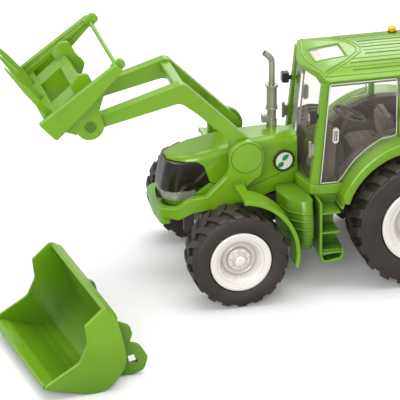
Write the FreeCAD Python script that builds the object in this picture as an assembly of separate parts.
import FreeCAD, Part
import math
import os

# Toy farm tractor with a front loader, a bale fork and a spare bucket.
# Modelling frame: +X forwards, +Y to the driver's left, +Z up, ground at Z = 0 and the
# rear axle at X = 0. Each piece is moved as it is saved, so that the origin of the files
# is the middle of the drawbar's pin hole. All lengths are in millimetres.

# ---- driving dimensions ----
WHEELBASE = 150.0
FRONT_R = 40.0            # front tyre, over the lugs
REAR_R = 53.5             # rear tyre, over the lugs
FRONT_X, FRONT_Z = WHEELBASE, FRONT_R
REAR_X, REAR_Z = 0.0, REAR_R
# Left wheels; face is the Y of the tyre's outer face.
FRONT_WHEEL = dict(x=FRONT_X, z=FRONT_Z, face=83.5, width=33.0, rim_radius=25.0)
REAR_WHEEL = dict(x=REAR_X, z=REAR_Z, face=78.0, width=42.0, rim_radius=32.0)
RUN = 0.05                # radial running clearance
AXLE_R = 4.0              # rear axle shaft
SPINDLE_R = 3.0           # front wheel spindle
KINGPIN_R = 2.5
KINGPIN_Y = 45.0
AXLE_PIN_Z = 46.0         # fore-and-aft pin of the front axle beam
AXLE_PIN_R = 2.0
AXLE_PIN_HALF = 13.4
FRAME_Y = 13.0            # half width of the chassis rail
PIVOT = (134.1, 109.9)    # loader boom pivot (X, Z)
PIVOT_R = 4.0
TIP = (261.2, 149.4)      # fork pivot at the end of the boom (X, Z)
TIP_R = 3.0
ARM_Y0, ARM_Y1 = 23.4, 32.2
TOWER_Y0, TOWER_Y1 = 32.9, 38.6
HOOD_W = 19.6             # half width of the hood at its widest
CAB_Y = 44.0              # outer half width of the cab pillars
PILLAR_Y0 = 38.6          # inner face of the cab pillars
FLOOR_Z = 79.1            # underside of the cab's floor mat
ROOF_Y = 44.6
ROOF_Z0 = 170.6
FENDER_Y = 62.0           # outer face of the rear fender
FENDER = (-1.5, 54.5)     # centre of the rear fender's arch (X, Z)
FENDER_R = 65.6
HITCH_X, HITCH_Z = -78.0, 36.0
HITCH_R = 2.6
LINK_PIN = (-50.0, 46.5)  # front pin of the lower links (X, Z)
LINK_PIN_R = 2.0

Vec = FreeCAD.Vector


# ---- helpers ----
def outline(points, place):
    """Closed wire from (a, b) or (a, b, corner radius) points; place maps a, b to space."""
    flat = [Vec(point[0], point[1], 0) for point in points]
    ends = []             # start, arc middle and end of each corner
    for i, (corner, point) in enumerate(zip(flat, points)):
        if len(point) < 3:
            ends.append((corner, None, corner))
            continue
        back = flat[i - 1] - corner
        ahead = flat[(i + 1) % len(flat)] - corner
        half = back.getAngle(ahead) / 2
        trim = min(point[2] / math.tan(half), 0.49 * back.Length, 0.49 * ahead.Length)
        back.normalize()
        ahead.normalize()
        bisector = back + ahead
        bisector.normalize()
        radius = trim * math.tan(half)
        reach = radius / math.sin(half) - radius
        ends.append((corner + back * trim, corner + bisector * reach, corner + ahead * trim))
    edges = []
    for i, (start, middle, end) in enumerate(ends):
        if middle is not None:
            arc = Part.Arc(*[place(p.x, p.y) for p in (start, middle, end)])
            edges.append(arc.toShape())
        following = ends[(i + 1) % len(ends)][0]
        if (following - end).Length > 1e-6:
            edges.append(Part.makeLine(place(end.x, end.y), place(following.x, following.y)))
    return Part.Wire(edges)


def slab_x(points, x0, x1):
    """Outline of (y, z) points extruded along X."""
    face = Part.Face(outline(points, lambda y, z: Vec(x0, y, z)))
    return face.extrude(Vec(x1 - x0, 0, 0))


def slab_y(points, y0, y1):
    """Outline of (x, z) points extruded along Y."""
    face = Part.Face(outline(points, lambda x, z: Vec(x, y0, z)))
    return face.extrude(Vec(0, y1 - y0, 0))


def slab_z(points, z0, z1):
    """Outline of (x, y) points extruded along Z."""
    face = Part.Face(outline(points, lambda x, y: Vec(x, y, z0)))
    return face.extrude(Vec(0, 0, z1 - z0))


def box(x0, y0, z0, x1, y1, z1):
    """Box between two opposite corners."""
    return Part.makeBox(x1 - x0, y1 - y0, z1 - z0, Vec(x0, y0, z0))


def rod_x(y, z, x0, x1, radius):
    return Part.makeCylinder(radius, x1 - x0, Vec(x0, y, z), Vec(1, 0, 0))


def rod_y(x, z, y0, y1, radius):
    return Part.makeCylinder(radius, y1 - y0, Vec(x, y0, z), Vec(0, 1, 0))


def rod_z(x, y, z0, z1, radius):
    return Part.makeCylinder(radius, z1 - z0, Vec(x, y, z0), Vec(0, 0, 1))


def turned(profile, x, z):
    """Turned shape about the Y axis through (x, z), from (radius, y[, corner]) points."""
    wire = outline(profile, lambda radius, y: Vec(x + radius, y, z))
    return Part.Face(wire).revolve(Vec(x, 0, z), Vec(0, 1, 0), 360)


def loft(wires, ruled=False):
    return Part.makeLoft(wires, True, ruled)


def fuse(*parts):
    fused = parts[0].multiFuse(list(parts[1:]))
    # merging coplanar faces can fail; the unmerged solid is just as good
    try:
        fused = fused.removeSplitter()
    except Exception:
        pass
    return fused


def biggest(shape):
    return max(shape.Solids, key=lambda solid: solid.Volume)


def mirrored(shape):
    """The same shape on the other side of the tractor."""
    return shape.mirror(Vec(0, 0, 0), Vec(0, 1, 0))


def pair(shape):
    return Part.makeCompound([shape, mirrored(shape)])


def span(side, inner, outer):
    """Rising Y range between two distances from the middle, on side 1 or -1."""
    return (inner, outer) if side > 0 else (-outer, -inner)


def mirror_points(half, middle=()):
    """Half an (x, y) outline, any points on the centreline, then the mirrored half."""
    return [*half, *middle, *[(x, -y, *corner) for x, y, *corner in reversed(half)]]


def try_fillet(shape, radius, edges):
    """The filleted shape, or None where the fillet fails."""
    try:
        result = shape.makeFillet(radius, edges)
        if result.isValid() and result.Volume > 0:
            return result
    except Exception:
        # an edge may have no room for its fillet
        pass
    return None


def soften(shape, radius, keep):
    """Rounds the edges that keep(edge) picks; one that can't be rounded stays sharp."""
    picked = [edge for edge in shape.Edges if keep(edge)]
    result = try_fillet(shape, radius, picked)
    if result is not None:
        return result
    for old in picked:
        for edge in shape.Edges:
            near = edge.CenterOfMass.distanceToPoint(old.CenterOfMass) < 1e-5
            if near and abs(edge.Length - old.Length) < 1e-5:
                shape = try_fillet(shape, radius, [edge]) or shape
                break
    return shape


def runs_along_y(edge):
    bounds = edge.BoundBox
    return bounds.YLength > 1e-3 and bounds.XLength < 1e-3 and bounds.ZLength < 1e-3


def in_plane_y(*planes):
    def test(edge):
        bounds = edge.BoundBox
        return bounds.YLength < 1e-3 and any(abs(bounds.YMin - y) < 1e-3 for y in planes)
    return test


def save(name, shape):
    shape = shape.copy()
    shape.translate(Vec(-HITCH_X, 0, -HITCH_Z))
    if shape.ShapeType in ("Compound", "CompSolid") and len(shape.Solids) == 1:
        shape = shape.Solids[0]
    shape.exportStep("parts/" + name + ".step")


def save_sides(name, left):
    save(name + "_left", left)
    save(name + "_right", mirrored(left))


os.makedirs("parts", exist_ok=True)


# ---- wheels ----
def tyre(x, z, face, width, rim_radius, radius, lugs, lug_height):
    """Left tyre: hollow-sided carcass with slanting tread lugs."""
    y1, y0 = face, face - width
    middle = (y0 + y1) / 2
    tread = radius - lug_height
    bead = rim_radius + 0.4
    wall = (bead + tread) / 2

    def both_walls(half):
        """Full profile from (radius, depth below a side face[, corner]) points."""
        return ([(r, y1 - depth, *corner) for r, depth, *corner in half]
                + [(r, y0 + depth, *corner) for r, depth, *corner in reversed(half)])

    carcass = turned(both_walls([(bead, 5, 1.2), (bead + 0.3, 1.4, 1.5), (wall, 0, 12),
                                 (tread - 0.9, 0.8, 1.2), (tread, 3.0, 1.5)]), x, z)
    envelope = turned(both_walls([(tread - 4, 1.1), (radius - 1.3, 1.1, 0.7),
                                  (radius - 0.2, 3.6, 1.5), (radius, width / 2 - 4)]), x, z)
    step = 360 / lugs
    pitch = 2 * math.pi * radius / lugs
    half = 0.26 * pitch
    lead = 0.62 * pitch
    bars = []
    for side, edge_y in ((1, y1), (-1, y0)):
        # lug outline above the hub: forward offset, then Y
        points = [(-half, edge_y + side * 1.0), (half, edge_y + side * 1.0),
                  (half + lead * 0.55, middle + side * width * 0.14),
                  (half + lead, middle - side * width * 0.07),
                  (lead - half * 0.55, middle - side * width * 0.07),
                  (lead * 0.55 - half * 0.9, middle + side * width * 0.16)]
        bar = slab_z([(x + a, b) for a, b in points], z + tread - 4, z + tread + 8)
        bar = bar.common(envelope)
        if side < 0:
            bar.rotate(Vec(x, 0, z), Vec(0, 1, 0), step / 2)
        bars.append(bar)
    solids = []
    for k in range(lugs):
        for bar in bars:
            lug = bar.copy()
            lug.rotate(Vec(x, 0, z), Vec(0, 1, 0), step * k)
            solids += lug.Solids
    return carcass.multiFuse(solids)


def rim(x, z, face, width, rim_radius, hub_y0, hub_y1, bore, bolt_circle, scale):
    """Left rim: rolled flange, stepped dish and raised hub; scale sizes the dish."""
    y1, y0 = face, face - width
    bolts = 8
    profile = [
        (bore, hub_y1), (5.2 * scale, hub_y1, 0.5), (6.2 * scale, hub_y1 - 1.6, 0.4),
        (9.2 * scale, hub_y1 - 2.2, 0.8), (10.2 * scale, hub_y1 - 4.6, 1.0),
        (13.2 * scale, hub_y1 - 5.2, 1.4), (14.2 * scale, hub_y1 - 2.6, 0.8),
        (16.6 * scale, y1 - 4.2, 0.6), (17.4 * scale, y1 - 3.0, 0.4),
        (19.2 * scale, y1 - 2.4, 0.4), (rim_radius - 5.2, y1 - 1.2, 0.6),
        (rim_radius - 1.6, y1 - 0.4, 0.6), (rim_radius, y1 - 1.0, 0.5),
        (rim_radius, y0 + 1.6, 0.4), (rim_radius - 3.2, y0 + 1.6, 0.4),
        (rim_radius - 3.2, hub_y1 - 9.0, 1.0), (9.0 * scale, hub_y1 - 9.2, 1.0),
        (bore + 3.2, hub_y1 - 10.0, 0.5), (bore + 3.2, hub_y0, 0.3), (bore, hub_y0)]
    heads = []
    for i in range(bolts):
        angle = 2 * math.pi * i / bolts
        heads.append(rod_y(x + bolt_circle * math.cos(angle), z + bolt_circle * math.sin(angle),
                           hub_y1 - 4.5, hub_y1 - 1.3, 0.95 * scale))
    return turned(profile, x, z).multiFuse(heads)


save_sides("front_tyre", tyre(**FRONT_WHEEL, radius=FRONT_R, lugs=18, lug_height=2.1))
save("rear_tyres", pair(tyre(**REAR_WHEEL, radius=REAR_R, lugs=20, lug_height=2.9)))
front_rim = rim(**FRONT_WHEEL, hub_y0=58.0, hub_y1=78.6, bore=SPINDLE_R + RUN,
                bolt_circle=7.7, scale=1.0)
front_cap = turned([(0.0, 78.7), (4.4, 78.7, 0.4), (4.4, 80.2, 0.7), (2.2, 81.0, 0.6),
                    (0.0, 81.0)], FRONT_X, FRONT_Z)
save_sides("front_rim", front_rim.fuse(front_cap))
save("rear_rims", pair(rim(**REAR_WHEEL, hub_y0=44.0, hub_y1=71.0, bore=AXLE_R,
                           bolt_circle=9.8, scale=1.28)))
rear_cap = turned([(0.0, 71.1), (5.8, 71.1, 0.4), (5.8, 73.2, 0.9), (3.0, 74.2, 0.8),
                   (0.0, 74.2)], REAR_X, REAR_Z)
save("rear_hub_caps", pair(rear_cap))
save("rear_axle_shaft", rod_y(REAR_X, REAR_Z, -71.0, 71.0, AXLE_R))

# ---- chassis: rail, rear axle block and the lugs of the front axle pin ----
LUG_GAP = 7.4             # from the front axle's centre to each pin lug
chassis = fuse(
    slab_y([(-52, 40, 3), (-52, 64, 3), (30, 64), (30, 65), (184, 65, 2), (184, 55, 2),
            (30, 55), (30, 40, 3)], -FRAME_Y, FRAME_Y),
    box(-20, -33, 40, 22, 33, 66),
    box(28, -FRAME_Y, 42, FRONT_X - 18, FRAME_Y, 58),
    box(FRONT_X - AXLE_PIN_HALF, -7, 40, FRONT_X - LUG_GAP, 7, 56),
    box(FRONT_X + LUG_GAP, -7, 40, FRONT_X + AXLE_PIN_HALF, 7, 56),
)
chassis = chassis.cut(rod_y(REAR_X, REAR_Z, -40, 40, AXLE_R + RUN))
chassis = chassis.cut(rod_x(0, AXLE_PIN_Z, FRONT_X - 15, FRONT_X + 15, AXLE_PIN_R))
chassis = soften(chassis, 1.2, lambda e: runs_along_y(e) and e.CenterOfMass.z < 45)
save("axle_pivot_pin", rod_x(0, AXLE_PIN_Z, FRONT_X - AXLE_PIN_HALF,
                             FRONT_X + AXLE_PIN_HALF, AXLE_PIN_R))

# front axle beam, swings about the fore-and-aft pin
beam = fuse(
    slab_x([(-45, 42), (-20, 39.5, 3), (20, 39.5, 3), (45, 42), (45, 50), (20, 52.2, 3),
            (-20, 52.2, 3), (-45, 50)], FRONT_X - 5, FRONT_X + 5),
    *[rod_z(FRONT_X, side * KINGPIN_Y, 40.5, 51.5, 5.0) for side in (1, -1)],
)
beam = fuse(beam, box(FRONT_X - 6.8, -6, 41, FRONT_X + 6.8, 6, 51))
beam = beam.cut(rod_x(0, AXLE_PIN_Z, FRONT_X - 12, FRONT_X + 12, AXLE_PIN_R + RUN))
for side in (1, -1):
    beam = beam.cut(rod_z(FRONT_X, side * KINGPIN_Y, 38, 54, KINGPIN_R + RUN))
    # flat end, clear of the knuckle
    y0, y1 = span(side, 50.0, 60)
    beam = beam.cut(box(FRONT_X - 12, y0, 30, FRONT_X + 18, y1, 60))
save("front_axle_beam", beam)

# steering knuckle: kingpin, fork, wheel spindle and steering arm with its pin
FORK_Z0, FORK_Z1 = 36.5, 55.0
KNUCKLE_Y = 55.0
fork_plan = [(FRONT_X - 5, KINGPIN_Y - 3, 2), (FRONT_X + 5, KINGPIN_Y - 3, 2),
             (FRONT_X + 5, KNUCKLE_Y, 1), (FRONT_X - 5, KNUCKLE_Y, 1)]
knuckle = fuse(
    rod_z(FRONT_X, KINGPIN_Y, FORK_Z0, FORK_Z1, KINGPIN_R),
    slab_z(fork_plan, 52.0, FORK_Z1),
    slab_z(fork_plan, FORK_Z0, 40.0),
    box(FRONT_X - 5, 51.0, FORK_Z0, FRONT_X + 5, KNUCKLE_Y, FORK_Z1),
    rod_y(FRONT_X, FRONT_Z, 54, 78.2, SPINDLE_R),
    rod_y(FRONT_X, FRONT_Z, 54, 57.6, 5.5),
    slab_z([(FRONT_X - 24, KINGPIN_Y - 3, 2.9), (FRONT_X + 2, KINGPIN_Y - 3),
            (FRONT_X + 2, KINGPIN_Y + 3), (FRONT_X - 24, KINGPIN_Y + 3, 2.9)], FORK_Z0, 39.0),
    rod_z(FRONT_X - 21, KINGPIN_Y, 32.0, 37.0, 1.5),
)
save_sides("steering_knuckle", knuckle)

# tie rod with slotted ends over the arm pins
TIE_Z0, TIE_Z1 = 33.2, 35.8
tie = fuse(box(FRONT_X - 23, -41, TIE_Z0, FRONT_X - 19, 41, TIE_Z1),
           *[slab_z([(FRONT_X - 25.5, side * 40, 3), (FRONT_X - 16.5, side * 40, 3),
                     (FRONT_X - 16.5, side * 49, 3), (FRONT_X - 25.5, side * 49, 3)],
                    TIE_Z0, TIE_Z1) for side in (1, -1)])
for side in (1, -1):
    y = side * KINGPIN_Y
    tie = tie.cut(slab_z([(FRONT_X - 23.6, y - 1.75, 1.7), (FRONT_X - 18.0, y - 1.75, 1.7),
                          (FRONT_X - 18.0, y + 1.75, 1.7), (FRONT_X - 23.6, y + 1.75, 1.7)],
                         30, 38))
save("tie_rod", tie)

# ---- hood, cowl below it, grille and chin ----
HOOD_X0 = 85.6
HOOD_WALL = 2.2
# X, half width, height of the crest
HOOD_SECTIONS = [
    (HOOD_X0, 12.4, 116.6), (100.0, 14.8, 116.4), (118.0, 17.4, 115.8), (134.0, 19.0, 114.7),
    (148.0, HOOD_W, 112.9), (162.0, HOOD_W, 110.2), (173.0, 18.4, 108.0),
    (182.0, 15.4, 106.2), (189.0, 10.6, 105.0), (192.6, 5.4, 104.3)]
BODY_SECTIONS = HOOD_SECTIONS[:7]  # the hollow part, behind the tapering front


def section(x, half, top, bottom, corner):
    return outline([(-half, bottom), (half, bottom), (half, top, corner), (-half, top, corner)],
                   lambda y, z: Vec(x, y, z))


def hollow(corner, top=None):
    """Space inside the walls, under a level top or a wall's thickness under the crest."""
    return loft([section(x + (1 if i else -1), half - HOOD_WALL, top or crest - HOOD_WALL,
                         50.0, corner) for i, (x, half, crest) in enumerate(BODY_SECTIONS)])


hood = loft([section(x, half, crest, 60.0, 7.5 if x < 166 else min(6.5, half * 0.55))
             for x, half, crest in HOOD_SECTIONS])
hood_inside = hollow(5.5)
hood_side = slab_y([(80, 90.6), (131, 74.6, 8), (160, 83.9, 3), (164.8, 98.4, 4),
                    (170.6, 102.2, 3), (196, 102.2), (210, 102.2), (210, 140), (80, 140)],
                   -40, 40)
hood = hood.common(hood_side).cut(hood_inside)
hood = soften(hood, 0.6, lambda e: abs(e.BoundBox.XMin - HOOD_X0) < 0.01
              and e.BoundBox.XLength < 0.01 and e.BoundBox.ZMin > 80)
save("hood_shell", hood)

cowl = slab_y([(HOOD_X0, 73.4), (112, 67.8), (120, 65.2), (176, 65.2), (176, 72),
               (160, 83.4), (131, 74.1, 8), (HOOD_X0, 88.4)], -30, 30)
cowl_body = loft([section(x, half + 0.2, 100.0, 60.0, 1.0) for x, half, crest in BODY_SECTIONS])
cowl = cowl.common(cowl_body).cut(hollow(1.0, 104.0))
cowl_floor = slab_y([(HOOD_X0, 73.4), (112, 67.8), (120, 65.2), (170, 65.2), (170, 67.0),
                     (120, 67.0), (112, 69.6), (HOOD_X0, 75.2)], -12, 12)
cowl = biggest(fuse(cowl, cowl_floor))
cowl = biggest(cowl.cut(box(80, -30, 60, 88.7, 30, 83.7)))


def nose(z, front, half, corner, back):
    """Level outline of the nose, with rounded front corners."""
    return outline([(back, -half), (front, -half, corner), (front, half, corner),
                    (back, half)], lambda x, y: Vec(x, y, z))


grille = loft([nose(78.2, 198.6, 19.8, 12.5, 150), nose(90, 196.6, 19.8, 12.5, 150),
               nose(106.0, 192.4, 19.4, 12.5, 150)])
grille_side = slab_y([(160.4, 84.0), (165.2, 98.3, 4), (170.8, 101.9, 3), (194.5, 101.9),
                      (210, 101.9), (210, 78.2), (178.0, 78.2)], -40, 40)
grille = grille.common(grille_side)
grille = grille.cut(loft([nose(70, 193.6, 16.7, 10, 140), nose(101.0, 187.5, 16.7, 10, 140)],
                         True))
save("grille_shell", biggest(grille))
lights = loft([nose(71.0, 197.4, 19.6, 12.5, 172), nose(77.9, 198.8, 19.9, 12.5, 172)], True)
lights = lights.cut(loft([nose(68, 194.4, 16.2, 10, 160), nose(80, 194.4, 16.2, 10, 160)],
                         True))
save("headlight_strip", lights)
save("engine_cowl", biggest(cowl.cut(lights)))
chin = loft([nose(65.3, 194.0, 18.4, 12, 168), nose(70.8, 196.6, 19.2, 12.5, 168)], True)
chin = chin.cut(box(160, -30, 60, 176.3, 30, 80)).cut(box(186.0, -12, 60, 190.5, 12, 80))
save("nose_chin", chin)

# round side emblems with a ring, turned to lie along the tapering hood
EMBLEM = (97.8, 94.6)     # X, Z
EMBLEM_TILT = math.degrees(math.atan2(17.4 - 14.8, 18.0))


def on_hood_side(blank):
    blank.rotate(Vec(EMBLEM[0], 14.7, EMBLEM[1]), Vec(0, 0, 1), EMBLEM_TILT)
    return pair(biggest(blank.cut(hood).common(box(80, 14.0, 80, 120, 20, 110))))


save("emblem_discs", on_hood_side(rod_y(*EMBLEM, 14.0, 16.1, 7.4)))
save("emblem_rings", on_hood_side(
    rod_y(*EMBLEM, 14.0, 16.6, 9.0).cut(rod_y(*EMBLEM, 13, 18, 7.5))))

# ---- exhaust stack, right of the hood's centreline ----
STACK_X, STACK_Y = 102.0, -7.5
stack_path = Part.Wire([
    Part.makeLine(Vec(STACK_X, STACK_Y, 151), Vec(STACK_X, STACK_Y, 170.6)),
    Part.Arc(Vec(STACK_X, STACK_Y, 170.6), Vec(STACK_X + 1.2, STACK_Y, 175.2),
             Vec(STACK_X + 4.2, STACK_Y, 178.4)).toShape(),
    Part.makeLine(Vec(STACK_X + 4.2, STACK_Y, 178.4), Vec(STACK_X + 6.4, STACK_Y, 180.2))])
pipe_ring = Part.Wire([Part.makeCircle(2.5, Vec(STACK_X, STACK_Y, 151), Vec(0, 0, 1))])
# bottom, top and radius of each round piece
STACK_RODS = [(112.0, 122.0, 4.2), (121.5, 131, 3.6), (131, 152.5, 4.2),
              (131.4, 133.2, 4.9), (150.6, 152.4, 5.3)]
stack = fuse(*[rod_z(STACK_X, STACK_Y, z0, z1, radius) for z0, z1, radius in STACK_RODS],
             stack_path.makePipeShell([pipe_ring], True, True),
             box(STACK_X + 2.0, STACK_Y - 2.4, 120.0, STACK_X + 8.4, STACK_Y + 2.4, 126.4))
outlet = Part.makeCylinder(1.8, 6, Vec(STACK_X + 7.4, STACK_Y, 181.0), Vec(-0.77, 0, -0.63))
stack = biggest(stack.cut(outlet).cut(hood).common(box(80, -30, 114.5, 130, 30, 200)))
stack = soften(stack, 0.6,
               lambda e: e.BoundBox.XMax > STACK_X + 8.2 and e.BoundBox.ZMax < 130)
save("exhaust_stack", stack)

# ---- loader subframe: two towers, side rails and the wrap-round bumper ----
COVER_SEAT = 1.2          # depth of the round cover's seat
tower = slab_y([(119.8, 109.9), (122.3, 94.4, 2), (134.0, 85.4, 2), (134.0, 60.0, 2),
                (154, 60.0, 2), (160, 66, 3), (168, 70), (168, 78.5, 2), (164.8, 81.9, 2),
                (150.4, 95.6, 5), (148.6, 103.0, 4), (148.4, 109.9)], TOWER_Y0, TOWER_Y1)
tower = fuse(tower, rod_y(*PIVOT, TOWER_Y0, TOWER_Y1, 14.3))
tower = soften(tower, 0.9, in_plane_y(TOWER_Y1))
tower = tower.cut(rod_y(*PIVOT, TOWER_Y0 - 1, TOWER_Y1 + 1, PIVOT_R))
tower = tower.cut(rod_y(*PIVOT, TOWER_Y1 - COVER_SEAT, TOWER_Y1 + 1, 12.9))
bumper_out = mirror_points([(148, TOWER_Y1), (164, TOWER_Y1, 3), (188.4, 31.0, 5),
                            (202.0, 24, 5)], [(204.0, 0, 30)])
bumper_in = mirror_points([(140, TOWER_Y0), (162, TOWER_Y0, 3), (184, 26.0, 6),
                           (196.6, 19.5, 9)], [(199.6, 0, 30)])
bumper = slab_z(bumper_out, 50, 110).cut(slab_z(bumper_in, 45, 115))
bumper_side = slab_y([(148, 68), (164, 68.0, 3), (176.5, 64.6, 3), (188.4, 58.0, 4),
                      (208, 60.6), (208, 66.2), (189.0, 68.3, 4), (178, 77.0, 4),
                      (164.8, 79.6, 2), (157, 86), (148, 86)], -50, 50)
bumper = bumper.common(bumper_side)
bumper = soften(bumper, 0.8, lambda e: e.BoundBox.ZMin > 56 and e.BoundBox.XMin > 168
                and (e.CenterOfMass.z > 65.5 or e.CenterOfMass.z < 61))
cross = fuse(box(134, -TOWER_Y1, 60, 152, -FRAME_Y - RUN, 64.8),
             box(134, FRAME_Y + RUN, 60, 152, TOWER_Y1, 64.8))
brace = fuse(box(185.0, -28, 58.6, 189.0, 28, 62.0), box(196.0, -20, 58.6, 201.0, 20, 62.0),
             box(185.0, -8, 58.6, 200.0, 8, 62.0))
brace = brace.common(slab_z(bumper_out, 50, 70))
save("loader_subframe", fuse(tower, mirrored(tower), bumper, cross, brace))
cover = rod_y(*PIVOT, TOWER_Y1 - COVER_SEAT, TOWER_Y1 - 0.1, 12.55)
save("tower_covers", pair(cover.cut(rod_y(*PIVOT, 0, TOWER_Y1 - 0.7, PIVOT_R + 0.3))))
save("boom_pivot_pins", pair(rod_y(*PIVOT, 22.6, TOWER_Y1 - 1.25, PIVOT_R)))

guard = fuse(slab_z(mirror_points([(193, -22, 1), (200.6, -22, 2)], [(202.2, 0, 20)]),
                    52.4, 58.5),
             box(184.2, -10, 53.0, 196, 10, 58.5))
save("lower_bumper", guard.cut(box(186, -19.5, 45, 196.5, 19.5, 55.5)))

# light chassis brackets in front of the axle
bracket = slab_y([(173.0, 64.9), (173.0, 47.0, 2), (178.0, 40.0, 2), (181.0, 42.0, 2),
                  (181.0, 64.9)], 14.0, 18.0)
bracket = fuse(bracket, box(173, 12.8, 58, 181, 18, 64.9))
chassis = fuse(chassis, bracket, mirrored(bracket))

# ---- loader boom: two arms joined by a cross tube and a cross web ----
ARM_SIDE = [
    (146.0, 122.6, 6), (172.6, 149.0, 7), (186.8, 160.4, 9), (249.0, 146.1, 10),
    (257.0, 143.4, 4), (266.0, 144.4, 6), (267.4, 154.4, 5), (249.0, 157.6, 8),
    (186.6, 176.6, 6), (182.4, 175.5, 6), (124.6, 117.4, 8), (122.6, 109.9, 6),
    (128.2, 99.5, 8), (141.0, 99.2, 8), (146.6, 110.0, 8)]
arm = slab_y(ARM_SIDE, ARM_Y0, ARM_Y1)
arm = soften(arm, 0.7, in_plane_y(ARM_Y0, ARM_Y1))
arm = arm.cut(rod_y(*PIVOT, 20, 50, PIVOT_R + RUN)).cut(rod_y(*TIP, 20, 50, TIP_R + RUN))
tube = slab_y([(178.0, 167.0, 1.5), (188.0, 164.4, 1.5), (191.2, 174.0, 1.5),
               (182.6, 174.0, 1.5)], -ARM_Y0 - 1, ARM_Y0 + 1)
web = slab_y([(152.0, 137.6, 0.8), (153.8, 135.6, 0.8), (161.0, 142.8, 0.8),
              (159.2, 144.8, 0.8)], -ARM_Y0 - 1, ARM_Y0 + 1)
save("loader_boom", fuse(arm, mirrored(arm), tube, web))

# ---- bale fork: side plates, crossbars, lugs, top rod and tines ----
PLATE_Y0, PLATE_Y1 = 51.0, 55.0
LUG_Y0, LUG_Y1 = 32.8, 36.6
INNER_LUG_Y0, INNER_LUG_Y1 = 19.2, 22.6
TOP_ROD = (241.8, 203.8)  # X, Z
TOP_ROD_R = 1.7
TOP_ROD_HALF = 53.0
RIB_Y0 = PLATE_Y0 - 3.4
plate = slab_y([(306.4, 163.2, 1.5), (295.3, 151.1, 1.5), (292.4, 148.0, 3), (265.0, 173.8),
                (252.6, 187.3), (238.3, 202.8, 1.5), (243.7, 208.5, 1.5)], PLATE_Y0, PLATE_Y1)
plate = soften(plate, 0.6, in_plane_y(PLATE_Y0, PLATE_Y1))
rib = slab_y([(302.0, 161.2), (298.5, 157.2), (245.4, 203.4), (244.4, 206.0)],
             RIB_Y0, PLATE_Y0 + 0.2)
lug = slab_y([(TIP[0] + 11.5, 143.6, 3), (283.0, 147.6, 1), (288.6, 160.6, 1),
              (258.0, 184.6, 3), (249.6, 176.0, 5), (253.6, 163.0, 3), (250.4, 152.0)],
             LUG_Y0, LUG_Y1)
lug = fuse(lug, rod_y(*TIP, LUG_Y0, LUG_Y1, 11.3))
lug = soften(lug, 0.5, in_plane_y(LUG_Y1))
inner_lug = slab_y([(TIP[0] + 9.5, 144.4, 3), (281.0, 149.6, 1), (285.0, 160.6, 1),
                    (268.0, 173.5, 3), (253.0, 157.0, 3)], INNER_LUG_Y0, INNER_LUG_Y1)
inner_lug = fuse(inner_lug, rod_y(*TIP, INNER_LUG_Y0, INNER_LUG_Y1, 9.0))
front_bar = slab_y([(283.5, 159.2, 1), (292.6, 151.8, 1), (298.6, 158.8, 1),
                    (289.6, 166.6, 1)], -PLATE_Y0 - 0.2, PLATE_Y0 + 0.2)
rear_bar = slab_y([(261.5, 179.0, 1), (268.5, 173.2, 1), (273.4, 179.0, 1),
                   (266.4, 184.8, 1)], -LUG_Y1, LUG_Y1)
link = slab_y([(284.6, 158.6), (290.2, 165.2), (270.6, 182.0), (265.0, 175.4)],
              INNER_LUG_Y0, LUG_Y1)
rod_lug = slab_y([(247.5, 205.2), (239.6, 212.0, 3), (234.2, 206.2, 3), (241.6, 199.6)],
                 RIB_Y0, PLATE_Y0 + 0.2)
tab = slab_y([(257.0, 183.6, 1), (268.0, 174.6, 1), (277.0, 184.4, 3), (271.0, 194.4, 4),
              (262.6, 195.0, 4)], -LUG_Y1, -LUG_Y1 + 3.6)
fork = fuse(plate, mirrored(plate), rib, mirrored(rib), lug, mirrored(lug),
            inner_lug, mirrored(inner_lug), front_bar, rear_bar, link, mirrored(link),
            tab, mirrored(tab), rod_lug, mirrored(rod_lug))
for side in (1, -1):
    fork = fork.cut(rod_y(*TIP, *span(side, 18, 45), TIP_R))
arm_room = rod_y(*TIP, ARM_Y0 - 0.5, ARM_Y1 + 0.4, 11.8)
fork = fork.cut(arm_room).cut(mirrored(arm_room))
for side in (1, -1):
    fork = fork.cut(rod_y(*TOP_ROD, *span(side, 46, TOP_ROD_HALF), TOP_ROD_R))
save("fork_frame", fork)
save("fork_top_rod", rod_y(*TOP_ROD, -TOP_ROD_HALF, TOP_ROD_HALF, TOP_ROD_R))

# pivot pins with three slots across the head: slot offset, half height
head_slots = fuse(*[
    box(TIP[0] + offset - 0.6, LUG_Y1 + 0.3, TIP[1] - half,
        TIP[0] + offset + 0.6, LUG_Y1 + 2, TIP[1] + half)
    for offset, half in ((-2.4, 3.4), (0.0, 4.0), (2.4, 3.4))])
fork_pin = fuse(rod_y(*TIP, INNER_LUG_Y0, LUG_Y1, TIP_R),
                rod_y(*TIP, LUG_Y1, LUG_Y1 + 1.0, 4.6).cut(head_slots))
fork_pin.rotate(Vec(TIP[0], 0, TIP[1]), Vec(0, 1, 0), 40)
save("fork_pivot_pins", pair(fork_pin))

TINE_ROOT = (291.2, 159.4)
TINE_UP = (-0.770, 0.638)     # across a tine, along the side plates (X, Z)
TINE_AHEAD = (0.638, 0.770)   # along a tine (X, Z)
# distance along the tine, offset across it
TINE = [(2.5, 2.8), (34, 2.4), (58, 0.7), (58, -0.3), (34, -2.2), (2.5, -2.8)]
tine_side = [tuple(TINE_ROOT[i] + TINE_AHEAD[i] * along + TINE_UP[i] * offset
                   for i in (0, 1)) for along, offset in TINE]
tines = [slab_y(tine_side, y - 2.4, y + 2.4).cut(fork) for y in (-32.0, 0.0, 32.0)]
# the scraps behind the crossbar are dropped
save("fork_tines", Part.makeCompound(
    [solid for tine in tines for solid in tine.Solids if solid.Volume > 200]))

# ---- bucket, lying on the ground ahead of the tractor and to its left ----
BUCKET_HALF = 134.0 / 2
BUCKET_X, BUCKET_Y = 313.8, 140.3
BUCKET_YAW = 5.8
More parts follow.
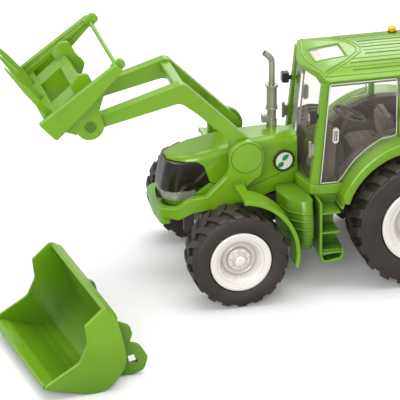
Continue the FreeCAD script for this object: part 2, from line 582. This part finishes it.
# back and floor from the top down, in the bucket's own X and Z; third value is the corner
BUCKET_BACK = [
    (-25.9, 65.0, 2), (-28.9, 58.8, 4), (-32.4, 45.6, 20), (-35.5, 31.4, 10),
    (-35.9, 25.6, 5), (-34.9, 18.9, 5), (-32.0, 13.5, 5), (-25.4, 5.5, 5),
    (-18.9, 1.4, 5), (-10.1, 0.0, 5), (-1.5, 1.0, 5), (9.3, 3.9, 10)]
BUCKET_INSIDE = [
    (-20.6, 69.8, 0.8), (-18.6, 67.8, 0.8), (-23.6, 63.6, 2), (-26.2, 58.0, 4),
    (-29.6, 45.0, 18), (-32.7, 31.2, 9), (-33.1, 25.8, 4), (-32.2, 19.8, 4),
    (-29.7, 15.2, 4), (-23.7, 7.8, 4), (-17.8, 4.1, 4), (-10.0, 2.8, 4), (-2.0, 3.7, 4),
    (8.7, 6.6, 8), (30.2, 12.6, 0.5)]
wall = slab_y([(29.4, 12.5, 1), (2.2, 27.7, 9), (-4.4, 42.1, 6), (-2.4, 58.1, 2),
               (-16.3, 70.0, 2), (-19.5, 70.0, 1.5), *BUCKET_BACK, (31.4, 10.0, 1)],
              BUCKET_HALF - 2.6, BUCKET_HALF)
wall = soften(wall, 0.6, in_plane_y(BUCKET_HALF))
shell = slab_y([(30.9, 9.9, 0.5), *reversed(BUCKET_BACK), *BUCKET_INSIDE],
               -BUCKET_HALF + 1, BUCKET_HALF - 1)
top_bar = slab_y([(-19.8, 70.2, 0.6), (-27.0, 66.0, 1.0), (-29.6, 60.0, 1.0),
                  (-26.4, 59.6, 0.6), (-17.6, 68.0, 0.8)], -BUCKET_HALF + 1, BUCKET_HALF - 1)
blade = slab_y([(31.6, 9.8, 0.4), (19.6, 6.4, 0.4), (18.7, 9.7, 0.4), (30.8, 13.2, 0.4)],
               -BUCKET_HALF + 2.6, BUCKET_HALF - 2.6)
bucket = fuse(shell, wall, mirrored(wall), top_bar)
for y in (-43.0, 43.0):
    hook = slab_y([(-28.5, 51.0), (-36.5, 46.6, 2), (-46.0, 42.0, 3), (-47.9, 35.5, 3),
                   (-45.4, 28.4, 3), (-33.0, 25.0)], y - 2.2, y + 2.2)
    eye = slab_y([(-34.0, 27.0), (-44.5, 28.2, 2), (-54.5, 24.2, 7), (-60.6, 14.0, 7),
                  (-57.5, 3.4, 6), (-48.0, 0.4, 6), (-36.0, 2.0, 2), (-27.0, 8.0)],
                 y - 2.2, y + 2.2)
    eye = eye.cut(slab_y([(-49.4, 17.7, 0.4), (-52.2, 10.6, 0.4), (-45.8, 9.6, 0.4),
                          (-43.9, 16.7, 0.4)], y - 4, y + 4))
    bucket = fuse(bucket, hook, eye)
bucket = bucket.cut(blade)
for name, part in (("bucket_shell", bucket), ("bucket_cutting_edge", blade)):
    part.translate(Vec(BUCKET_X, BUCKET_Y, 0.0))
    part.rotate(Vec(BUCKET_X, BUCKET_Y, 0), Vec(0, 0, 1), BUCKET_YAW)
    save(name, part)

# ---- cab ----
TUB_Z1 = 83.6
tub = slab_z(mirror_points([(88.6, -22, 2), (83.4, -45, 3), (54.5, -47.5, 1), (54.5, -35.5),
                            (-42, -35.5, 2)]), 75.6, TUB_Z1)
rear_well = box(-38, -33.5, 79.0, 56, 33.5, 90)
front_well = slab_z(mirror_points([(84.6, -20), (79.6, -41), (57, -43.5), (50, -33.5)]),
                    79.0, 90)
tub = tub.cut(rear_well).cut(front_well)
tub = soften(tub, 0.8, lambda e: e.BoundBox.ZLength < 1e-3 and e.BoundBox.XMin > 53
             and e.BoundBox.XMax > 54 and e.CenterOfMass.z > 83
             and abs(e.CenterOfMass.y) > 44.0)
under = fuse(box(30, -12.9, 65.05, 85.4, 12.9, 76.0), box(-40, -30, 66.05, 29.9, 30, 76.0))
FRONT_PILLAR = [(83.1, 83.0), (73.4, 170.5), (66.4, 170.5), (75.7, 83.0)]
REAR_PILLAR = [(-35.7, 96), (-41.7, 96), (-40.0, 170.5), (-34.0, 170.5)]
pillars = []
for side in (1, -1):
    pillars.append(slab_y(FRONT_PILLAR, *span(side, PILLAR_Y0, CAB_Y)))
    pillars.append(slab_y(REAR_PILLAR, *span(side, PILLAR_Y0, CAB_Y)))
    y0, y1 = span(side, 33.0, CAB_Y)
    pillars.append(box(-42, y0, 96, -36, y1, 122))
top_frame = slab_z([(73.0, -CAB_Y), (73.0, CAB_Y), (-41, CAB_Y), (-41, -CAB_Y)], 166.8, 170.5)
top_frame = top_frame.cut(slab_z([(68, -PILLAR_Y0), (68, PILLAR_Y0), (-34, PILLAR_Y0),
                                  (-34, -PILLAR_Y0)], 160, 177))
cab = fuse(tub, under, top_frame, *pillars)
cab = fuse(cab, box(-42, -35.5, 83, -39, 35.5, 108))
save("cab_frame", cab)


# rear fenders, with the inner walls that carry them
def fender_points(radius, start, end, count):
    """Points on a circle about the fender's centre, between two angles in degrees."""
    angles = [math.radians(start + (end - start) * i / count) for i in range(count + 1)]
    return [(FENDER[0] + radius * math.cos(a), FENDER[1] + radius * math.sin(a))
            for a in angles]


def fender_disc(y0, y1, gap):
    """Solid disc a gap larger than the fender, to clear space around it."""
    return rod_y(*FENDER, y0, y1, FENDER_R + gap)


def arch(outer, outer_r, inner, inner_r, start, end, y0, y1):
    """Arched strip between two circles; angles are seen from the inner circle's centre."""
    def on_circle(centre, radius, angle):
        across, up = math.cos(math.radians(angle)), math.sin(math.radians(angle))
        off_x, off_z = inner[0] - centre[0], inner[1] - centre[1]
        along = off_x * across + off_z * up
        reach = -along + math.sqrt(along ** 2 - (off_x ** 2 + off_z ** 2 - radius ** 2))
        return Vec(inner[0] + across * reach, y0, inner[1] + up * reach)

    angles = (start, (start + end) / 2, end)
    above = [on_circle(outer, outer_r, angle) for angle in angles]
    below = [on_circle(inner, inner_r, angle) for angle in angles]
    wire = Part.Wire([Part.Arc(*above).toShape(), Part.makeLine(above[2], below[2]),
                      Part.Arc(*reversed(below)).toShape(), Part.makeLine(below[0], above[0])])
    return Part.Face(wire).extrude(Vec(0, y1 - y0, 0))


FENDER_Y0 = 33.8
band = arch(FENDER, FENDER_R, FENDER, FENDER_R - 2.4, 12, 176, FENDER_Y0, FENDER_Y)
lip = arch(FENDER, FENDER_R, (REAR_X, REAR_Z), 58.0, 17.5, 172, FENDER_Y - 2.4, FENDER_Y)
fender = fuse(band, lip)
on_outer_face = in_plane_y(FENDER_Y)
fender = soften(fender, 1.8,
                lambda e: on_outer_face(e) and e.Length > 100 and e.BoundBox.ZMax > 118)
inner_wall = slab_y([(54.4, 66.5), (54.4, 84.9), *fender_points(FENDER_R - 2.5, 29.4, 150.6, 14),
                     (-56.4, 80), (-56.4, 66.5)], FENDER_Y0, 35.9)
inner_wall = inner_wall.cut(box(-70, 30, 60, -42.1, 40, 79))
fender = fuse(fender, inner_wall)
fender = fender.cut(box(-42.3, 30, 60, -35.0, 44.2, 122.3))
fender = fender.cut(box(-42.3, 30, 75.5, 54.7, 36.1, 83.7))
fender = fender.cut(box(54.3, 30, 75.5, 66, 47.6, 83.7))
save("rear_fenders", pair(biggest(fender)))

# roof: almost flat shell with long chamfered front corners and shallow grooves
ROOF_LENGTHWISE = [  # X, Z
    (86, 170.2), (83, 172.4), (79, 174.6), (72, 176.7), (58, 178.7), (34, 180.3),
    (8, 180.5), (-20, 179.2), (-38, 177.0), (-45, 175.0), (-49, 172.6)]
ROOF_CROSSWISE = mirror_half = [  # Y, Z, left half down to the crest
    (46.5, 169.8), (44.6, 171.9), (41.6, 174.0), (37.0, 175.9), (30.0, 177.7),
    (18.0, 179.6), (0.0, 180.4)]
ROOF_CROSSWISE = mirror_half + [(-y, z) for y, z in mirror_half[-2::-1]]
ROOF_WALL = 2.4


def under_curve(points, drop, place, extrusion):
    """Solid from Z = 150 up to a smooth curve lowered by drop."""
    curve = Part.BSplineCurve()
    curve.interpolate([place(a, z - drop) for a, z in points])
    (first, first_z), (last, last_z) = points[0], points[-1]
    wire = Part.Wire([curve.toShape(),
                      Part.makeLine(place(last, last_z - drop), place(last, 150)),
                      Part.makeLine(place(last, 150), place(first, 150)),
                      Part.makeLine(place(first, 150), place(first, first_z - drop))])
    return Part.Face(wire).extrude(extrusion)


def crown(drop):
    """Solid under the roof's surface: the lengthwise profile crossed with the crosswise."""
    lengthwise = under_curve(ROOF_LENGTHWISE, drop, lambda x, z: Vec(x, -60, z),
                             Vec(0, 120, 0))
    return lengthwise.common(under_curve(ROOF_CROSSWISE, drop, lambda y, z: Vec(-60, y, z),
                                         Vec(160, 0, 0)))


roof = slab_z(mirror_points([(81.4, -9.0, 8), (71.4, -ROOF_Y, 8), (-38.0, -ROOF_Y, 8),
                             (-46.0, -36, 6)]), ROOF_Z0, 215).common(crown(0.0))
cavity = slab_z(mirror_points([(78.6, -8), (69.0, -42), (-37, -42), (-43, -34)]),
                ROOF_Z0 - 1, 195).common(crown(ROOF_WALL))
roof = roof.cut(cavity)
grooves = fuse(*[box(-39.0, y - 1.0, 160, 30.0 if abs(y) < 14 else 46.0, y + 1.0, 200)
                 for y in (-36, -26, -13, 0, 13, 26, 36)])
roof = roof.cut(grooves.cut(crown(0.7)))
roof = roof.cut(slab_z([(70.4, -12.8), (70.4, 12.8), (46.2, 12.2), (46.2, -12.2)], 160, 220))
save("cab_roof", biggest(roof))
hatch = slab_z([(70.2, -12.6), (70.2, 12.6), (46.4, 12.0), (46.4, -12.0)], 150, 220)
save("roof_window", biggest(hatch.common(crown(0.6)).cut(crown(ROOF_WALL))))

# beacon, on the right half of the roof
BEACON_X, BEACON_Y = -5.0, -32.0
BEACON_Z = 178.6          # top of the base
beacon = fuse(rod_z(BEACON_X, BEACON_Y, 173.5, BEACON_Z, 3.0),
              rod_z(BEACON_X, BEACON_Y, 177.8, BEACON_Z, 3.5))
save("beacon_base", biggest(beacon.cut(roof).common(box(-20, -50, 175.4, 10, -20, 190))))
lens = outline([(0, BEACON_Z), (3.1, BEACON_Z, 0.3), (3.1, 181.8, 1.4), (1.3, 183.4, 1.2),
                (0, 183.4)], lambda radius, z: Vec(BEACON_X + radius, BEACON_Y, z))
save("beacon_lens", Part.Face(lens).revolve(Vec(BEACON_X, BEACON_Y, 0), Vec(0, 0, 1), 360))

# windows; the windscreen leans back as it rises
WINDOW_TOP = 166.7
screen_plan = mirror_points([(85.2, 8), (84.3, 20), (81.0, 38.3), (79.6, 38.3),
                             (82.9, 19.6), (83.8, 7.8)])
windscreen = Part.Face(outline(screen_plan, lambda x, y: Vec(x, y, 83.65)))
windscreen = windscreen.extrude(Vec(-8.4, 0, 86.85)).cut(cab)
save("windscreen", biggest(windscreen))
save("rear_window", biggest(box(-38.8, -38.2, 108.4, -37.4, 38.2, WINDOW_TOP).cut(cab)))

# doors: moulded panels with a raised rim, hinged at their rear edge
HINGE_X, HINGE_Y = 9.0, 48.0
HINGE_ZS = (133.0, 155.0)     # foot of each hinge
HINGE_R = 1.4
HINGE_PIN_R = 0.7
DOOR_X0 = HINGE_X + 2.6
DOOR_Y0, DOOR_Y1 = 44.4, 46.2
DOOR_SWING = 75               # degrees


def sill(x):
    """Lowest door edge at x that swings out over the fender without touching it."""
    arm = x - HINGE_X
    inset = HINGE_Y - DOOR_Y0
    clear = FENDER_R + 0.4
    lowest = 0.0
    for degrees in range(DOOR_SWING + 1):
        angle = math.radians(degrees)
        across = HINGE_X + arm * math.cos(angle) + inset * math.sin(angle) - FENDER[0]
        out = HINGE_Y + arm * math.sin(angle) - inset * math.cos(angle)
        if out < FENDER_Y + 0.3 and abs(across) < clear:
            lowest = max(lowest, FENDER[1] + math.sqrt(clear ** 2 - across ** 2))
    return lowest + 0.3


SILL = [(x, sill(x)) for x in (12.0, 18.0, 25.0, 32.0, 38.0, 44.0, 49.0, 53.0, 56.5)]


def door_outline(inset):
    points = [(76.0 - inset, 84.0 + inset, 1.5), (67.4 - inset * 0.9, 170.4 - inset, 1.5),
              (DOOR_X0 + inset, 170.4 - inset, 1.5),
              (DOOR_X0 + inset, SILL[0][1] + 0.6 + inset, 1.5)]
    for i, (x, z) in enumerate(SILL[1:], 1):
        before, after = SILL[i - 1], SILL[min(i + 1, len(SILL) - 1)]
        slope = (after[1] - before[1]) / (after[0] - before[0])
        length = math.hypot(1.0, slope)
        points.append((x - slope / length * inset, z + inset / length))
    return points + [(59.6, 84.0 + inset, 1.0)]


side_window = slab_y([(HINGE_X - 1.9, 118.0), (HINGE_X - 1.9, WINDOW_TOP),
                      (-33.7, WINDOW_TOP), (-34.9, 118.0)], 41.0, 42.4)
side_window = side_window.cut(fender_disc(30, 50, 0.3))
# strip that fills the gap between the door's sill and the fender
strip = slab_y([(DOOR_X0, SILL[0][1] - 0.2), *[(x, z - 0.5) for x, z in SILL[1:]],
                (58.6, 83.7), (54.8, 83.7), (54.8, 80.0), (40, 80), (DOOR_X0, 100)],
               44.6, 45.8)
strip = strip.cut(fender_disc(30, 60, 0.05)).cut(cab)
save("side_windows", pair(fuse(side_window, biggest(strip))))

post = slab_y([(HINGE_X - 1.8, 117.0), (HINGE_X + 1.6, 117.0), (HINGE_X + 1.6, 170.5),
               (HINGE_X - 1.8, 170.5)], 39.6, 46.0)
post = post.cut(fender_disc(30, 60, 0.1)).cut(cab)
sockets = fuse(*[rod_z(HINGE_X, HINGE_Y, z + 5, z + 10, HINGE_R) for z in HINGE_ZS],
               *[box(HINGE_X - HINGE_R, 46.0, z + 5, HINGE_X + 0.4, HINGE_Y, z + 10)
                 for z in HINGE_ZS])
sockets = sockets.cut(rod_z(HINGE_X, HINGE_Y, 130, 170, HINGE_PIN_R + RUN))
save("hinge_posts", pair(fuse(post, sockets)))

door = slab_y(door_outline(0.0), DOOR_Y0, DOOR_Y1)
door = door.cut(slab_y(door_outline(1.6), 44.0, 45.0))
door = door.cut(slab_y(door_outline(1.6), 45.9, 47.0))
knuckles = fuse(
    *[rod_z(HINGE_X, HINGE_Y, z, z + 4.8, HINGE_R) for z in HINGE_ZS],
    *[box(HINGE_X, 46.6, z, HINGE_X + 5.0, 47.8, z + 4.8) for z in HINGE_ZS],
    *[box(HINGE_X + 3.4, 46.0, z, HINGE_X + 5.0, 47.2, z + 4.8) for z in HINGE_ZS])
door = fuse(door, knuckles,
            *[rod_z(HINGE_X, HINGE_Y, z + 4.8, z + 8, HINGE_PIN_R) for z in HINGE_ZS])
save_sides("door", door)
handle = slab_y([(61.2, 119.6, 2.2), (66.0, 119.6, 2.2), (65.4, 132.4, 2.2),
                 (60.6, 132.4, 2.2)], 45.9, 48.2)
for x in (62.4, 64.0):
    handle = handle.cut(slab_y([(x, 121.4, 0.4), (x + 0.7, 121.4, 0.4),
                                (x + 0.3, 130.6, 0.4), (x - 0.4, 130.6, 0.4)], 47.2, 49))
save_sides("door_handle", handle)

# lamps and brackets on the front pillars, and the wiper
pillar_room = slab_y(FRONT_PILLAR, 30, 50)
cab_lamp = fuse(box(78.8, 40.8, 138.0, 84.4, 46.6, 146.4),
                box(75.0, 41.4, 140.4, 79.2, 43.6, 143.6))
cab_lamp = soften(cab_lamp, 0.8, lambda e: e.BoundBox.XMin > 84.3)
save("cab_lamps", pair(cab_lamp.cut(pillar_room)))
holder = fuse(box(78.0, 41.0, 109.0, 82.6, 43.8, 118.0), rod_z(83.2, 42.4, 107.4, 120.6, 1.3))
save("pillar_brackets", pair(biggest(holder.cut(pillar_room))))
wiper = fuse(box(0, -0.5, 0, 1.2, 0.5, 46.0), box(0, -1.3, 43.0, 2.2, 1.3, 46.0))
wiper.rotate(Vec(0, 0, 0), Vec(0, 1, 0), -5.0)
wiper.translate(Vec(81.9, 6.0, 122.0))
save("wiper", biggest(wiper.cut(windscreen)))

# ---- cab interior ----
SEAT_HALF = 15
seat = fuse(slab_y([(10, 96.5, 3), (40, 96.5, 4), (40, 102.5, 4), (10, 101.5, 3)],
                   -SEAT_HALF, SEAT_HALF),
            slab_y([(2, 100, 3), (14, 100, 2), (16.5, 121.4, 5), (6.5, 123, 5)],
                   -SEAT_HALF, SEAT_HALF))
save("seat", soften(seat, 2.5, in_plane_y(-SEAT_HALF, SEAT_HALF)))

dash = fuse(slab_y([(60, FLOOR_Z), (79.2, FLOOR_Z), (79.2, 112, 2), (78.0, 118.4, 3),
                    (66, 122.0, 6), (56, 121.0, 3), (58, 112, 3)], -31, 31),
            *[slab_y([(62, 110), (57.2, 118.4), (56.6, 121.7, 0.6), (66, 122.8, 6),
                      (77.6, 119.4, 1), (76, 110)], y - 0.7, y + 0.7)
              for y in range(-28, 29, 7)])
dash = dash.common(slab_z(mirror_points([(79.0, -15), (75.2, -31), (50, -31)]), 70, 140))
dash = dash.cut(box(50, 10, 79, 70, 26, 103)).cut(box(50, -26, 79, 70, -10, 103))

# steering column and wheel, set out along the column's axis
COLUMN_AXIS = Vec(-0.42, 0, 0.9075)


def on_column(distance):
    return Vec(41.0, 0, 117.5) + COLUMN_AXIS * distance


def column_rod(radius, length, start):
    return Part.makeCylinder(radius, length, on_column(start), COLUMN_AXIS)


column = fuse(column_rod(2.4, 22, -18),
              slab_y([(44.5, FLOOR_Z), (61, FLOOR_Z), (61, 111), (53.0, 108, 3), (45.5, 98)],
                     -5.5, 5.5))
save("dashboard", fuse(dash, column).cut(column_rod(1.2, 14, -6)))
spokes = []
for k in range(3):
    spoke = Part.makeBox(12.0, 2.6, 1.3, Vec(1.6, -1.3, -0.65))
    spoke.rotate(Vec(0, 0, 0), Vec(0, 0, 1), 60 + 120 * k)
    spoke.rotate(Vec(0, 0, 0), Vec(0, 1, 0),
                 math.degrees(math.atan2(COLUMN_AXIS.x, COLUMN_AXIS.z)))
    spoke.translate(on_column(5.6))
    spokes.append(spoke)
save("steering_wheel", fuse(Part.makeTorus(13.5, 1.5, on_column(5.4), COLUMN_AXIS),
                            column_rod(3.6, 2.4, 4.4), column_rod(1.15, 9.5, -4.8), *spokes))

# floor mat, seat base, side consoles and the liners over the fenders
seat_base = slab_y([(8, FLOOR_Z), (36, FLOOR_Z), (32, 90), (34, 96.3), (12, 96.3), (14, 90)],
                   -11, 11)
console = slab_y([(-6, 82.0), (36, 82.0), (36, 103, 5), (-6, 110, 4)], 19.5, 32.0)
console = soften(console, 1.5, lambda e: e.CenterOfMass.z > 100)
console = fuse(console, box(-6, 19.5, FLOOR_Z, 36, 32.0, 85.2))
liner = slab_y([(-35.6, FLOOR_Z), (55.6, FLOOR_Z),
                *fender_points(FENDER_R + 1.5, 31.2, 120.6, 12)], 31.2, 33.4)
liner = fuse(liner, arch(FENDER, FENDER_R + 1.5, FENDER, FENDER_R + 0.25, 29.5, 120,
                         31.2, 39.3))
front_mat = slab_z(mirror_points([(79.6, -20), (78.6, -40.6), (57.2, -43.1),
                                  (50.4, -33.0)]), FLOOR_Z, 80.3)
mat = fuse(box(-36, -33.2, FLOOR_Z, 55.6, 33.2, 80.3),
           front_mat.cut(box(43, -31.3, 79, 81, 31.3, 90)))
mat = mat.cut(box(44.2, -5.8, 79, 62, 5.8, 90)).cut(box(59.7, -31.3, 79, 81, 31.3, 90))
treads = [box(57.5 + 2.5 * i, 32.0, 80.0, 58.4 + 2.5 * i, 40.0, 81.1) for i in range(8)]
mat = fuse(mat, *treads, *[mirrored(tread) for tread in treads])
save("cab_interior", fuse(mat, seat_base, console, mirrored(console), liner, mirrored(liner)))


# ---- side tanks, step ladders and front fenders ----
def tank_wire(z, grow):
    """Level outline of the left tank; grow moves its outer corners out."""
    return outline([(84.0, 18.0), (84.0, 58.0 + grow, 3), (92.0, 60.5 + grow, 8),
                    (103.5, 50.0 + grow, 12), (107.5, 30.0, 8), (105.5, 18.0)],
                   lambda x, y: Vec(x, y, z))


tank = loft([tank_wire(33.0, -3.5), tank_wire(38.0, 0.0), tank_wire(72.0, 0.0),
             tank_wire(76.0, -1.5)])
tank = tank.fuse(box(84.0, 13.1, 44.0, 104.0, 19.0, 57.5))
tank = tank.cut(fuse(box(83, 10, 20, 120, 13.1, 100), box(83, 10, 75.5, 120, 70, 100)))

STEP_X0, STEP_X1 = 60.0, 80.6
STEP_Y0, STEP_Y1 = 44.0, 64.5
STEP_TOP = 75.5
ladder = [box(x, STEP_Y0, 30.0, x + 2.2, STEP_Y1, STEP_TOP)
          for x in (STEP_X0, STEP_X1 - 2.2)]
ladder += [box(STEP_X0, STEP_Y0, z - 1.6, STEP_X1, STEP_Y1 - 0.4, z)
           for z in (32.4, 50.0, 67.0)]
ladder.append(box(STEP_X0, STEP_Y0, 30.0, STEP_X1, STEP_Y0 + 2.0, STEP_TOP))
loop = slab_y([(STEP_X0, 30.5), (STEP_X0 + 0.4, 24.0, 3.5), (STEP_X1 - 4.0, 21.6, 4.0),
               (STEP_X1, 30.5), (STEP_X1, 34), (STEP_X0, 34)], 53.0, STEP_Y1 - 2)
ladder.append(loop.cut(slab_y([(STEP_X0 + 2.2, 31.4, 0.5), (STEP_X0 + 2.4, 26.4, 2.0),
                               (STEP_X1 - 4.4, 24.0, 3.0), (STEP_X1 - 2.2, 31.4, 0.5)],
                              52.0, STEP_Y1)))
ladder.append(box(STEP_X0, 31.0, 70.0, STEP_X1, STEP_Y0 + 2.0, STEP_TOP))
save("step_ladders", pair(biggest(fuse(*ladder).cut(fender_disc(20, 80, 0.3)).cut(cab))))

GUARD_R = 50.4            # front fender, concentric with the wheel
GUARD_Y = 78.0
axle = (FRONT_X, FRONT_Z)
guard_band = arch(axle, GUARD_R, axle, GUARD_R - 2.2, 95, 194, 54.0, GUARD_Y)
guard_lip = arch(axle, GUARD_R, axle, GUARD_R - 3.6, 95, 194, 76.2, GUARD_Y)
stay = fuse(slab_y([(FRONT_X - 14, 86.9), (FRONT_X - 12, 89.4), (FRONT_X - 4, 90.0),
                    (FRONT_X - 4, 87.0)], 41.0, 54.5),
            box(FRONT_X - 14, TOWER_Y1, 80.0, FRONT_X - 5, TOWER_Y1 + 1.8, 90.4))
front_fender = fuse(guard_band, guard_lip, stay.cut(rod_y(*axle, 30, 90, GUARD_R - 2.3)))
on_guard_face = in_plane_y(GUARD_Y)
front_fender = soften(front_fender, 0.8, lambda e: on_guard_face(e) and e.Length > 60)
save("front_fenders", pair(front_fender))
save("side_tanks", pair(biggest(tank.cut(front_fender))))

# ---- rear end: back plate, link pins, lower links, drawbar and screws ----
rear = fuse(box(-58, -20, 50.3, -52.1, 20, 74), slab_y([(-58, 48), (-52, 48), (-52, 58)], -6, 6))
rear = rear.cut(box(-60, -9, 60, -50, 9, 70))
for side in (1, -1):
    rear = fuse(rear, rod_y(*LINK_PIN, *span(side, 12.9, 24.2), LINK_PIN_R),
                rod_y(*LINK_PIN, *span(side, 24.2, 25.4), 3.0))
save("chassis_frame", fuse(chassis, rear))

LINK_Y0, LINK_Y1 = 21.0, 24.0
LINK_EYE = (-89.0, 39.2)  # X, Z
lower_link = fuse(slab_y([(-53, 43, 1.5), (-53, 50, 1.5), (-88, 42.5), (-88, 36.0)],
                         LINK_Y0, LINK_Y1),
                  rod_y(*LINK_EYE, LINK_Y0, LINK_Y1, 4.6), rod_y(*LINK_PIN, 13.1, LINK_Y1, 3.2),
                  box(-53.5, LINK_Y0, 43.3, -48, LINK_Y1, 49.7))
lower_link = lower_link.cut(rod_y(*LINK_EYE, 10, 30, 2.1))
save("lower_links", pair(lower_link.cut(rod_y(*LINK_PIN, 10, 30, LINK_PIN_R + RUN))))

BAR_Z0, BAR_Z1 = HITCH_Z - 3.0, HITCH_Z + 3.0
drawbar = fuse(box(-74, -7, BAR_Z0, 8, 7, BAR_Z1), rod_z(HITCH_X, 0, BAR_Z0, BAR_Z1, 7.0),
               box(-50, -7, 38, 6, 7, 40.0))
save("drawbar", drawbar.cut(rod_z(HITCH_X, 0, 20, 50, HITCH_R)))

# cross-slotted screws under the rear axle block
screws = []
for x in (REAR_X - 14, REAR_X + 16):
    for y in (-26, 26):
        screw = rod_z(x, y, 38.6, 40.0, 2.2)
        screw = screw.cut(box(x - 1.6, y - 0.3, 38.0, x + 1.6, y + 0.3, 39.2))
        screws.append(screw.cut(box(x - 0.3, y - 1.6, 38.0, x + 0.3, y + 1.6, 39.2)))
save("chassis_screws", Part.makeCompound(screws))
